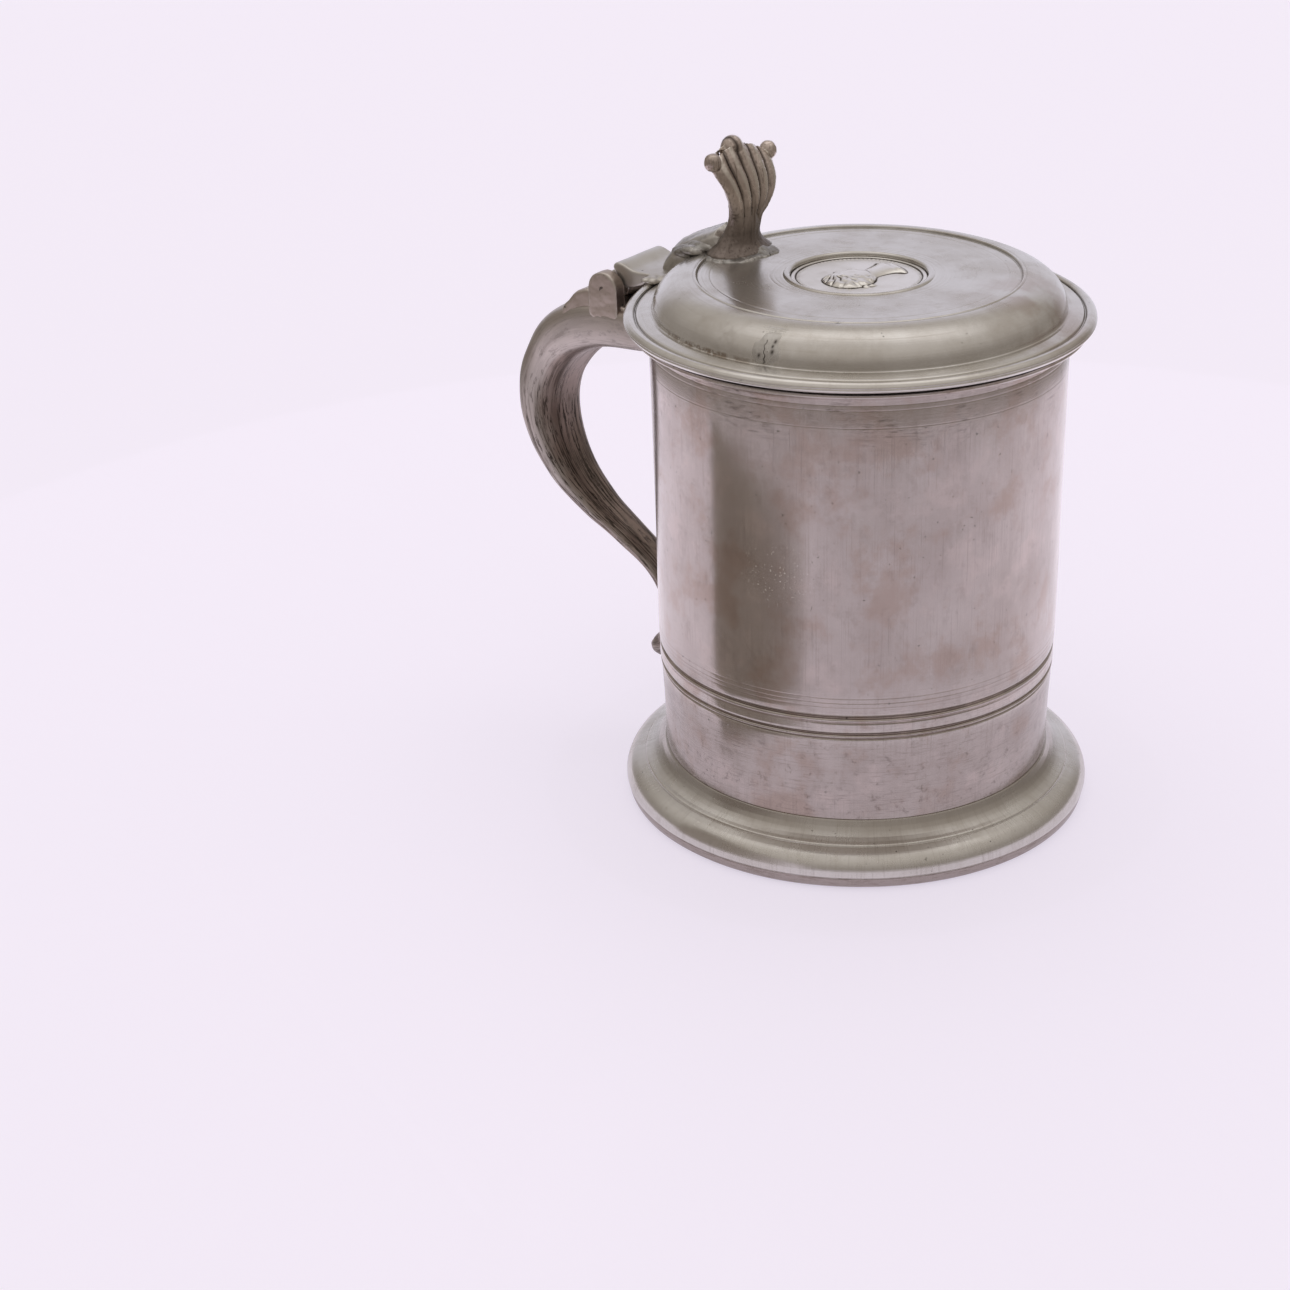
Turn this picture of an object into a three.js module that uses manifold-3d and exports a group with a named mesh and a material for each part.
// Pewter tankard: a turned drum on a spreading foot, with a C handle, a hinged domed lid,
// a coin set in the lid and a fluted thumbpiece.
// Millimetres, +Z up, the tankard stands on z = 0 and the handle points along -X.
// Inside the two bodies' groups the axis of the drum is x = 0, y = 0.
import * as THREE from 'three';
import { mergeVertices } from 'three/addons/utils/BufferGeometryUtils.js';
import Module from 'manifold-3d';

const wasm = await Module();
wasm.setup();

// ---- driving dimensions -------------------------------------------------------------------

const GAP = 0.3; // clearance between neighbouring castings
const ROUND_STEPS = 48; // sides of the large turned pieces
const SMALL_STEPS = 24; // sides of the pin, its holes and the knuckle

const DRUM_RADIUS = 62.4; // outside, at mid height
const DRUM_WALL = 1.9;
const DRUM_BOTTOM = 13.9;
const LIP_RADIUS = 69;
const LIP_TOP = 155.6;
const LIP_THICKNESS = 1.5;

const FOOT_RADIUS = 74.1;
const FOOT_REST_RADIUS = 72.2;
const FOOT_HOLLOW_RADIUS = 65.5;
const FOOT_TOP = 17.2;

const BASE_THICKNESS = 2.2;

const FLANGE_RADIUS = 71;
const FLANGE_BOTTOM = 156.5;
const SHOULDER_FOOT = { r: 62.2, z: 160.3 };
const SHOULDER_TOP = { r: 48.9, z: 170.5 };
const LID_WALL = 2;
const COLLAR_RADIUS = 59.6;
const COLLAR_BOTTOM = 152.6;

const COIN_RADIUS = 20.5;
const COIN_TOP = 168.4;
const COIN_THICKNESS = 2.2;
const BEZEL_RADIUS = 22.8;
const BEZEL_HEIGHT = 170.6;

const PIN = { x: -84.7, z: 155 };
const PIN_RADIUS = 1.6;
const HINGE_WIDTH = 33; // across the outside of the two ears
const EAR_THICKNESS = 4.5;
const EAR_RADIUS = 5.7;
const SADDLE_FOOT = 145.5; // lower edge of the ears, just below the top of the handle
const KNUCKLE_RADIUS = 4.6;
const KNUCKLE_WIDTH = 16.4;
const LEAF_WIDTH = 22.8;

const HANDLE_REACH = 129; // outermost point of the handle, from the axis of the drum
const HANDLE_SIDES = 16;
const HANDLE_RINGS = 34;

const BALL_RADIUS = 2.7;
const NEAR_BALL = { x: -42.4, y: -15, z: 201.8 };
const MIDDLE_BALL = { x: -46, y: 0, z: 203.6 };
const FAR_BALL = { x: -42.4, y: 15, z: 198.4 };

// The middle of the whole object's length is x = 0, so the drum stands off it.
const DRUM_OFFSET = (HANDLE_REACH - FOOT_RADIUS) / 2;

// ---- shape helpers ------------------------------------------------------------------------

// Merges a geometry's vertices, drops collapsed triangles and turns its faces outwards.
function tidy(geometry) {
  const bare = geometry.clone();
  bare.deleteAttribute('normal');
  bare.deleteAttribute('uv');
  const merged = mergeVertices(bare, 1e-4);
  const source = merged.index.array;
  const at = merged.attributes.position;
  const kept = [];
  let volume = 0;
  const corner = [new THREE.Vector3(), new THREE.Vector3(), new THREE.Vector3()];
  for (let i = 0; i < source.length; i += 3) {
    const [a, b, c] = source.slice(i, i + 3);
    if (a === b || b === c || c === a) continue;
    kept.push(a, b, c);
    corner[0].fromBufferAttribute(at, a);
    corner[1].fromBufferAttribute(at, b);
    corner[2].fromBufferAttribute(at, c);
    volume += corner[0].dot(corner[1].cross(corner[2]));
  }
  if (volume < 0) kept.reverse();
  merged.setIndex(kept);
  return merged;
}

function solid(geometry) {
  const closed = tidy(geometry);
  return new wasm.Manifold(
    new wasm.Mesh({
      numProp: 3,
      vertProperties: closed.attributes.position.array,
      triVerts: new Uint32Array(closed.index.array),
    }),
  );
}

function geometryOf(manifold) {
  const mesh = manifold.getMesh();
  const geometry = new THREE.BufferGeometry();
  geometry.setAttribute('position', new THREE.BufferAttribute(mesh.vertProperties, 3));
  geometry.setIndex(new THREE.BufferAttribute(mesh.triVerts, 1));
  const shaded = geometry.toNonIndexed();
  shaded.computeVertexNormals();
  return shaded;
}

// The largest of the separate pieces that a cut can leave.
function largest(manifold) {
  const pieces = manifold.decompose();
  return pieces.reduce((best, piece) => (piece.volume() > best.volume() ? piece : best));
}

// Turns an outline of [radius, height] pairs round the Z axis.
function turned(outline, steps = ROUND_STEPS) {
  const points = outline.map(([r, z]) => new THREE.Vector2(r, z));
  const geometry = new THREE.LatheGeometry(points, steps);
  geometry.rotateX(Math.PI / 2);
  return tidy(geometry);
}

function turnedRing(outline, steps = ROUND_STEPS) {
  return turned([...outline, outline[0]], steps);
}

// Points on an elliptical arc in the [radius, height] plane, angles in degrees.
function arc(r, z, radiusR, radiusZ, from, to, steps) {
  const points = [];
  for (let i = 0; i <= steps; i += 1) {
    const angle = THREE.MathUtils.degToRad(from + ((to - from) * i) / steps);
    points.push([r + radiusR * Math.cos(angle), z + radiusZ * Math.sin(angle)]);
  }
  return points;
}

// Skins a run of rings, each with the same number of points, and closes both ends.
function loft(rings) {
  const sides = rings[0].length;
  const positions = rings.flat().flatMap((point) => point.toArray());
  const indices = [];
  for (let ring = 0; ring < rings.length - 1; ring += 1) {
    for (let side = 0; side < sides; side += 1) {
      const next = (side + 1) % sides;
      const a = ring * sides + side;
      const b = ring * sides + next;
      indices.push(a, b, b + sides, a, b + sides, a + sides);
    }
  }
  for (const [ring, flip] of [[0, true], [rings.length - 1, false]]) {
    const middle = positions.length / 3;
    const centre = new THREE.Vector3();
    rings[ring].forEach((point) => centre.add(point));
    positions.push(...centre.divideScalar(sides).toArray());
    for (let side = 0; side < sides; side += 1) {
      const a = ring * sides + side;
      const b = ring * sides + ((side + 1) % sides);
      indices.push(middle, flip ? b : a, flip ? a : b);
    }
  }
  const geometry = new THREE.BufferGeometry();
  geometry.setAttribute('position', new THREE.Float32BufferAttribute(positions, 3));
  geometry.setIndex(indices);
  return geometry;
}

// Extrudes an outline of [x, z] pairs along Y, centred on y = middle.
function plate(outline, width, middle = 0) {
  const shape = new THREE.Shape(outline.map(([x, z]) => new THREE.Vector2(x, z)));
  const geometry = new THREE.ExtrudeGeometry(shape, { depth: width, bevelEnabled: false });
  geometry.rotateX(Math.PI / 2);
  geometry.translate(0, middle + width / 2, 0);
  return geometry;
}

function barrel(radius, width, middle = 0) {
  const geometry = new THREE.CylinderGeometry(radius, radius, width, SMALL_STEPS);
  geometry.translate(PIN.x, middle, PIN.z);
  return geometry;
}

function ball(radius, place) {
  const geometry = new THREE.SphereGeometry(radius, 12, 8);
  geometry.translate(place.x, place.y, place.z);
  return geometry;
}

// A rounded lump of solder, as a squashed sphere.
function lump(place, radii) {
  const geometry = new THREE.SphereGeometry(1, 14, 8);
  geometry.scale(radii.x, radii.y, radii.z);
  geometry.translate(place.x, place.y, place.z);
  return geometry;
}

function pewter(colour, roughness) {
  return new THREE.MeshStandardMaterial({ color: colour, roughness, metalness: 0.9 });
}

const GREY_PEWTER = pewter(0x9a958c, 0.42);
const MAUVE_PEWTER = pewter(0xa39792, 0.5);
const BROWN_PEWTER = pewter(0x82796f, 0.55);
const SOLDER = pewter(0xa7a39c, 0.6);
const IRON = pewter(0x4d4743, 0.7);
const SILVER = pewter(0xb4b0aa, 0.35);

function part(name, shape, material) {
  const geometry = shape.isBufferGeometry ? shape.toNonIndexed() : geometryOf(shape);
  geometry.computeVertexNormals();
  const mesh = new THREE.Mesh(geometry, material.clone());
  mesh.name = name;
  return mesh;
}

// ---- the vessel ---------------------------------------------------------------------------

// A shallow turned line in the wall, as three points down the outline.
function scribedLine(r, z, depth = 0.35, half = 0.45) {
  return [[r, z + half], [r - depth, z], [r, z - half]];
}

function drumOutline() {
  const lipFoot = 2.4; // radius of the small cove under the lip
  const wallTop = DRUM_RADIUS + 0.9;
  return [
    [DRUM_RADIUS - DRUM_WALL - 1.4, DRUM_BOTTOM],
    [DRUM_RADIUS - DRUM_WALL + 0.1, 60],
    [wallTop - DRUM_WALL, LIP_TOP - 3],
    [wallTop - DRUM_WALL + 0.5, LIP_TOP],
    [LIP_RADIUS - 0.4, LIP_TOP],
    [LIP_RADIUS, LIP_TOP - 0.5],
    [LIP_RADIUS - 0.2, LIP_TOP - LIP_THICKNESS],
    ...arc(wallTop + lipFoot, LIP_TOP - LIP_THICKNESS - lipFoot, lipFoot, lipFoot, 90, 180, 2),
    [DRUM_RADIUS + 0.1, 53.2],
    [DRUM_RADIUS - 0.6, 51.4],
    [DRUM_RADIUS - 0.1, 50.6],
    ...scribedLine(DRUM_RADIUS, 46.1),
    ...scribedLine(DRUM_RADIUS, 44.6, 0.35, 0.4),
    [DRUM_RADIUS - 1.4, 30],
    [DRUM_RADIUS - 1.6, DRUM_BOTTOM],
  ];
}

function baseDisc() {
  const radius = DRUM_RADIUS - DRUM_WALL - 1.4 - 0.2;
  return turned([
    [0, DRUM_BOTTOM + 0.1],
    [radius, DRUM_BOTTOM + 0.1],
    [radius, DRUM_BOTTOM + 0.1 + BASE_THICKNESS],
    [0, DRUM_BOTTOM + 0.1 + BASE_THICKNESS],
  ]);
}

function footOutline() {
  const seat = DRUM_RADIUS - 1.5 + GAP;
  return [
    [FOOT_HOLLOW_RADIUS, 0],
    [FOOT_REST_RADIUS, 0],
    [FOOT_RADIUS - 0.6, 1.2],
    ...arc(FOOT_RADIUS - 6.5, 4.6, 6.5, 6.4, 0, 80, 5),
    [67.6, 11.3],
    [67.2, 12],
    [65.6, 12.8],
    [63, 15],
    [seat + 0.6, FOOT_TOP],
    [seat, FOOT_TOP - 0.2],
    [seat, DRUM_BOTTOM - GAP],
    [57, DRUM_BOTTOM - GAP],
    [57, DRUM_BOTTOM - GAP - 1.6],
    [61.5, 9.5],
    [64.4, 5],
  ];
}

// Where the wall of the drum stands, grown by a gap: used to cut what is soldered to it.
function drumMask(gap) {
  return solid(turned([
    [0, 5],
    [DRUM_RADIUS + gap, 5],
    [DRUM_RADIUS + 0.9 + gap, LIP_TOP - 4],
    [LIP_RADIUS + gap, LIP_TOP - 3],
    [LIP_RADIUS + gap, LIP_TOP + 5],
    [0, LIP_TOP + 5],
  ]));
}

// Stations down the handle: x and z of its middle, half its depth, half its width, and how
// square its section is (1 is an ellipse, less is squarer).
const HANDLE_STATIONS = [
  [-57, 142, 6.8, 14.6, 0.6],
  [-74, 142, 6.9, 15.6, 0.5],
  [-91, 140.6, 7.6, 16, 0.5],
  [-106, 134.2, 8.9, 14, 0.62],
  [-116, 123.8, 8.9, 12, 0.75],
  [-120.4, 111.4, 8.6, 11.2, 0.8],
  [-118.5, 97.7, 7.4, 10.6, 0.8],
  [-111.5, 84.9, 5.7, 9.2, 0.8],
  [-100.5, 74.5, 4, 7.7, 0.8],
  [-88.2, 66.3, 3.2, 6.7, 0.8],
  [-77, 57, 3.2, 6.4, 0.8],
  [-70.2, 46.8, 4.2, 6.6, 0.8],
  [-68.6, 38, 5, 7, 0.8],
  [-71.5, 31, 5.2, 6.8, 0.85],
  [-76.6, 28.4, 3.9, 5.4, 0.9],
  [-80.2, 27.9, 1.2, 2, 1],
];

function power(value, exponent) {
  return Math.sign(value) * Math.abs(value) ** exponent;
}

// The handle as one tapering bar. Its section is a rounded D that is narrower on the side
// that faces the drum.
function handleBar(grow) {
  const route = new THREE.CatmullRomCurve3(
    HANDLE_STATIONS.map(([x, z]) => new THREE.Vector3(x, 0, z)),
  );
  const sizes = new THREE.CatmullRomCurve3(
    HANDLE_STATIONS.map(([, , depth, width, square]) => new THREE.Vector3(depth, width, square)),
  );
  const rings = [];
  for (let i = 0; i <= HANDLE_RINGS; i += 1) {
    const share = i / HANDLE_RINGS;
    const middle = route.getPoint(share);
    const along = route.getTangent(share);
    const outwards = new THREE.Vector3(-along.z, 0, along.x).negate();
    const size = sizes.getPoint(share);
    const ring = [];
    for (let side = 0; side < HANDLE_SIDES; side += 1) {
      const angle = (2 * Math.PI * side) / HANDLE_SIDES;
      const outer = Math.cos(angle);
      const narrowing = 1 - 0.22 * Math.max(0, -outer);
      const depth = (size.x + grow) * power(outer, size.z);
      const width = (size.y + grow) * narrowing * power(Math.sin(angle), size.z);
      ring.push(middle.clone().addScaledVector(outwards, depth).setY(width));
    }
    rings.push(ring);
  }
  return solid(loft(rings));
}

// Room for the knuckle to turn in, between the ears.
function knuckleRoom() {
  return solid(barrel(KNUCKLE_RADIUS + 0.4, HINGE_WIDTH - 2 * EAR_THICKNESS));
}

function handle() {
  return largest(handleBar(0).subtract(drumMask(GAP)).subtract(knuckleRoom()));
}

// Solder round the neck of the handle, where it meets the drum.
function handleUpperSolder() {
  const reach = solid(turned([[0, 120], [DRUM_RADIUS + 4, 120], [DRUM_RADIUS + 3, 151], [0, 151]]));
  const fillet = handleBar(1.8).intersect(reach);
  return largest(fillet.subtract(handleBar(0.25)).subtract(drumMask(0.25)));
}

// The pad that holds the lower end of the handle off the drum.
function handleLowerPad() {
  const outline = [[-68, 38], [-68, 48.5], [-60, 50], [-60, 36.5]];
  return largest(solid(plate(outline, 10)).subtract(handleBar(0.25)).subtract(drumMask(0.25)));
}

// One hinge ear, a plate with a round top, at y = middle.
function ear(middle) {
  const outline = [
    [PIN.x - EAR_RADIUS, SADDLE_FOOT],
    ...arc(PIN.x, PIN.z, EAR_RADIUS, EAR_RADIUS, 180, 0, 12),
    [PIN.x + EAR_RADIUS, SADDLE_FOOT],
  ];
  return solid(plate(outline, EAR_THICKNESS, middle));
}

// The saddle and its two ears: it sits on the top of the handle.
function hingeBlock() {
  const saddle = [
    [-77, SADDLE_FOOT],
    [-77, 149.9],
    [-90, 149.9],
    [-91, 152.4],
    [-97.6, 150],
    [-101.8, 146],
    [-102, 142],
  ];
  const earMiddle = (HINGE_WIDTH - EAR_THICKNESS) / 2;
  const block = solid(plate(saddle, HINGE_WIDTH - EAR_THICKNESS))
    .add(ear(earMiddle))
    .add(ear(-earMiddle));
  return largest(block
    .subtract(handleBar(0.25))
    .subtract(knuckleRoom())
    .subtract(solid(barrel(PIN_RADIUS + 0.06, HINGE_WIDTH + 2))));
}

function vessel() {
  const group = new THREE.Group();
  group.add(part('drum', turnedRing(drumOutline()), MAUVE_PEWTER));
  group.add(part('base_disc', baseDisc(), GREY_PEWTER));
  group.add(part('foot_ring', turnedRing(footOutline()), GREY_PEWTER));
  group.add(part('handle', handle(), BROWN_PEWTER));
  group.add(part('handle_upper_solder', handleUpperSolder(), SOLDER));
  group.add(part('handle_lower_pad', handleLowerPad(), SOLDER));
  group.add(part('hinge_block', hingeBlock(), BROWN_PEWTER));
  group.add(part('hinge_pin', tidy(barrel(PIN_RADIUS, HINGE_WIDTH)), IRON));
  return group;
}

// ---- the lid ------------------------------------------------------------------------------

// The upper surface of the lid, from its axis out to the lower edge of the flange.
function lidTop(gap) {
  const width = SHOULDER_FOOT.r - SHOULDER_TOP.r;
  const rise = SHOULDER_TOP.z - SHOULDER_FOOT.z;
  return [
    [SHOULDER_TOP.r - 0.5 + gap, SHOULDER_TOP.z - 0.15 + gap],
    [SHOULDER_TOP.r + gap, SHOULDER_TOP.z - 0.5 + gap],
    [SHOULDER_TOP.r + 0.5 + gap, SHOULDER_TOP.z + gap],
    ...arc(SHOULDER_TOP.r, SHOULDER_FOOT.z, width + gap, rise + gap, 78, 0, 6),
    [63, SHOULDER_FOOT.z - 0.2 + gap],
    [66.8, 159.1 + gap],
    [67.4, 158.5 + gap],
    [68, 159.1 + gap],
    [69.4, 159.3 + gap],
    [70.6 + gap, 158.8 + gap],
    [FLANGE_RADIUS + gap, 157.9],
    [FLANGE_RADIUS - 0.6 + gap, FLANGE_BOTTOM],
  ];
}

// The lid as a filled block, grown by a gap: used to cut what is soldered on top of it.
function lidMask(gap) {
  const skin = lidTop(gap);
  return solid(turned([
    [0, 150],
    [50, 150],
    [50, FLANGE_BOTTOM - gap],
    [FLANGE_RADIUS - 0.6 + gap, FLANGE_BOTTOM - gap],
    ...skin.reverse(),
    [0, 170 + gap],
  ]));
}

function lidShell() {
  const seat = COIN_TOP - COIN_THICKNESS - 0.1; // floor of the coin's recess
  const inside = SHOULDER_FOOT.r - LID_WALL;
  return turned([
    [0, seat],
    [COIN_RADIUS + 0.2, seat],
    [COIN_RADIUS + 0.2, seat + 1],
    [BEZEL_RADIUS + 0.2, seat + 1],
    [BEZEL_RADIUS + 0.2, 169.7],
    ...lidTop(0),
    [inside, FLANGE_BOTTOM],
    ...arc(SHOULDER_TOP.r, SHOULDER_FOOT.z - 1, inside - SHOULDER_TOP.r, 10, 0, 90, 4),
    [COIN_RADIUS + 4, seat - LID_WALL + 0.4],
    [0, seat - LID_WALL],
  ]);
}

function lidCollar() {
  return turnedRing([
    [COLLAR_RADIUS - 1.8, COLLAR_BOTTOM],
    [COLLAR_RADIUS - 0.4, COLLAR_BOTTOM],
    [COLLAR_RADIUS, COLLAR_BOTTOM + 0.8],
    [COLLAR_RADIUS, 160],
    [COLLAR_RADIUS - 1.8, 160],
  ]);
}

function coinBezel() {
  const inner = COIN_RADIUS + 0.2;
  const seat = COIN_TOP - COIN_THICKNESS + 1.1;
  const half = (BEZEL_RADIUS - inner) / 2;
  return turnedRing([
    [inner, seat],
    [BEZEL_RADIUS, seat],
    ...arc(inner + half, BEZEL_HEIGHT - half, half, half, 0, 180, 4),
  ]);
}

function coin() {
  const bottom = COIN_TOP - COIN_THICKNESS;
  return turned([
    [0, bottom],
    [COIN_RADIUS, bottom],
    [COIN_RADIUS, COIN_TOP],
    [COIN_RADIUS - 1, COIN_TOP],
    [COIN_RADIUS - 1.4, COIN_TOP - 0.4],
    [0, COIN_TOP - 0.4],
  ], 40);
}

// The side view of the leaf: a thick block behind the pin that sweeps down to a thin tongue
// on the flange.
function leafOutline() {
  return [
    [-84.2, 162],
    [-83.3, 163],
    [-81.8, 163.2],
    [-79.4, 162.6],
    [-77, 161.5],
    [-74.6, 161.1],
    [-65, 161.3],
    [-65, 157],
    [-72.6, 157],
    [-76.7, 155.6],
    [-79.9, 155],
    [-82.6, 158.6],
  ];
}

function leafBlank(gap) {
  const outline = leafOutline();
  const block = solid(plate(outline, LEAF_WIDTH + 2 * gap));
  return block.add(solid(barrel(KNUCKLE_RADIUS, KNUCKLE_WIDTH)));
}

function lidLeaf() {
  const bore = solid(barrel(PIN_RADIUS + GAP, HINGE_WIDTH));
  return largest(leafBlank(0).subtract(bore).subtract(lidMask(GAP)));
}

// Solder in the corner between the near end of the leaf and the flange.
function leafSolder() {
  const blob = solid(lump({ x: -67.2, y: -10, z: 160.2 }, { x: 5.2, y: 7.5, z: 2 }));
  const cut = blob.subtract(leafBlank(GAP)).subtract(lidMask(0.25)).subtract(strapBar(GAP));
  return largest(cut);
}

// Stations up the strap: x, z of its crest, half its width.
const STRAP_STATIONS = [
  [-71.2, 161.2, 3.4],
  [-69.4, 164, 4.2],
  [-67.2, 168, 4.6],
  [-64.4, 170.7, 5],
  [-60.6, 172.9, 5.6],
  [-56, 175.2, 6.6],
  [-51, 177.4, 7.6],
];

// The strap as a bar whose crest follows its stations and whose belly is inside the lid.
function strapBar(grow) {
  const rings = STRAP_STATIONS.map(([x, z, half]) => {
    const ring = [];
    const steps = 12;
    for (let i = 0; i < steps; i += 1) {
      const angle = (2 * Math.PI * i) / steps;
      const up = Math.sin(angle);
      const rise = up > 0 ? 3.6 : 9;
      const lean = up > 0 ? 0 : -up * 8;
      const y = (half + grow) * power(Math.cos(angle), 0.8);
      ring.push(new THREE.Vector3(x + lean, y, z - 3.6 + (rise + grow) * up));
    }
    return ring;
  });
  return solid(loft(rings));
}

// Stations up the thumbpiece: height, x of its middle, half its thickness, half its width,
// how deep its flutes are, and how far its middle stands off to the far side.
const THUMB_STATIONS = [
  [169, -43.4, 8.6, 12.4, 0, 0],
  [171.9, -43.2, 7.6, 11.6, 0, 0],
  [174, -43, 5.6, 9, 0, 0],
  [177, -42.4, 4.2, 6.6, 0, 0],
  [180.6, -41.2, 3.3, 5.8, 0.15, 0.4],
  [184.5, -40.1, 2.9, 7.8, 0.4, 1],
  [188.5, -39.6, 2.7, 10, 0.55, 1.4],
  [193, -40.1, 2.5, 12.6, 0.6, 1.2],
  [197, -41.4, 2.3, 14.2, 0.6, 0.6],
  [200.4, -43, 1.9, 14.2, 0.5, 0],
  [202, -44, 1.2, 13, 0.2, 0],
];
const FLUTES = 6;
const THUMB_ROLL = 0.11; // fall of the fan's top towards the far side

function thumbFan(grow) {
  const sides = 28;
  const rings = THUMB_STATIONS.map(([z, x, thick, half, flute, aside]) => {
    const ring = [];
    for (let side = 0; side < sides; side += 1) {
      const angle = (2 * Math.PI * side) / sides;
      const across = power(Math.sin(angle), 0.8);
      const ripple = flute * Math.cos(across * FLUTES * Math.PI);
      const through = (thick + grow) * power(Math.cos(angle), 0.7);
      ring.push(new THREE.Vector3(
        x + through + ripple * Math.cos(angle),
        (half + grow) * across + aside,
        z - THUMB_ROLL * half * across * Math.max(0, (z - 180) / 20),
      ));
    }
    return ring;
  });
  return solid(loft(rings));
}

function thumbpieceBlank(grow) {
  const balls = [NEAR_BALL, MIDDLE_BALL, FAR_BALL];
  return balls.reduce(
    (shape, place) => shape.add(solid(ball(BALL_RADIUS + grow, place))),
    thumbFan(grow),
  );
}

function thumbpiece() {
  return largest(thumbpieceBlank(0).subtract(lidMask(GAP)));
}

function heelStrap() {
  return largest(strapBar(0)
    .subtract(lidMask(GAP))
    .subtract(thumbpieceBlank(GAP))
    .subtract(leafBlank(GAP)));
}

// The low, uneven collar of solder round the foot of the thumbpiece.
function thumbpieceSolder() {
  const collar = solid(lump({ x: -43.5, y: 0, z: 171 }, { x: 12.4, y: 15.4, z: 2.4 }));
  return largest(collar
    .subtract(lidMask(0.25))
    .subtract(thumbpieceBlank(0.25))
    .subtract(strapBar(0.25)));
}

function shoulderRepair() {
  const place = { x: 6.8, y: -59.8, z: 163 };
  return largest(solid(lump(place, { x: 3.6, y: 3, z: 4.6 })).subtract(lidMask(0.2)));
}

function lid() {
  const group = new THREE.Group();
  group.add(part('lid_shell', lidShell(), GREY_PEWTER));
  group.add(part('lid_collar', lidCollar(), GREY_PEWTER));
  group.add(part('coin_bezel', coinBezel(), GREY_PEWTER));
  group.add(part('coin', coin(), SILVER));
  group.add(part('lid_leaf', lidLeaf(), GREY_PEWTER));
  group.add(part('leaf_solder', leafSolder(), SOLDER));
  group.add(part('heel_strap', heelStrap(), GREY_PEWTER));
  group.add(part('thumbpiece', thumbpiece(), BROWN_PEWTER));
  group.add(part('thumbpiece_solder', thumbpieceSolder(), SOLDER));
  group.add(part('shoulder_repair', shoulderRepair(), SOLDER));
  return group;
}

const tankard = new THREE.Group();
tankard.add(vessel(), lid());
tankard.position.x = DRUM_OFFSET;

export default tankard;
